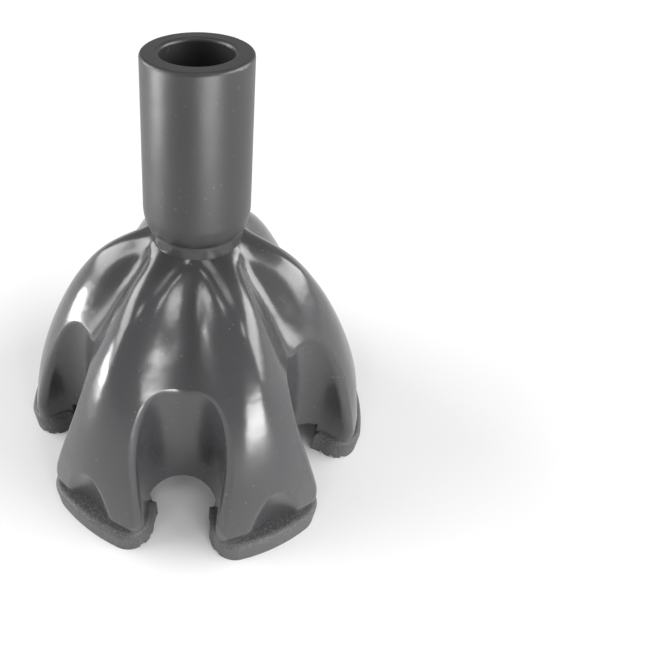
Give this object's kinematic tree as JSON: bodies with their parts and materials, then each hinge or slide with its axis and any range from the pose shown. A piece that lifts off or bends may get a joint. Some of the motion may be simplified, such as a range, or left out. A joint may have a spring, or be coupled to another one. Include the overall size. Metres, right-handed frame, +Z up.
{
  "type": "rubber cane tip",
  "caption": "Splayed rubber tip for a walking cane: legs arch out from a tall round socket to wide matte soles, with slots between them and a steel washer in the bore.",
  "frame": {"origin": "on the ground, on the axis of the socket, between the legs", "axes": "+Z up along the socket and out of its mouth; +X along the middle of one leg"},
  "size_m": [0.114, 0.1088, 0.12],
  "materials": {
    "moulded_rubber": "glossy on the hub and legs, satin on the socket, matte on the soles",
    "steel_washer": "plain pressed steel, a little dulled"
  },
  "bodies": {
    "root": {"tip_body": "moulded_rubber", "washer": "steel_washer"}
  },
  "joints": []
}
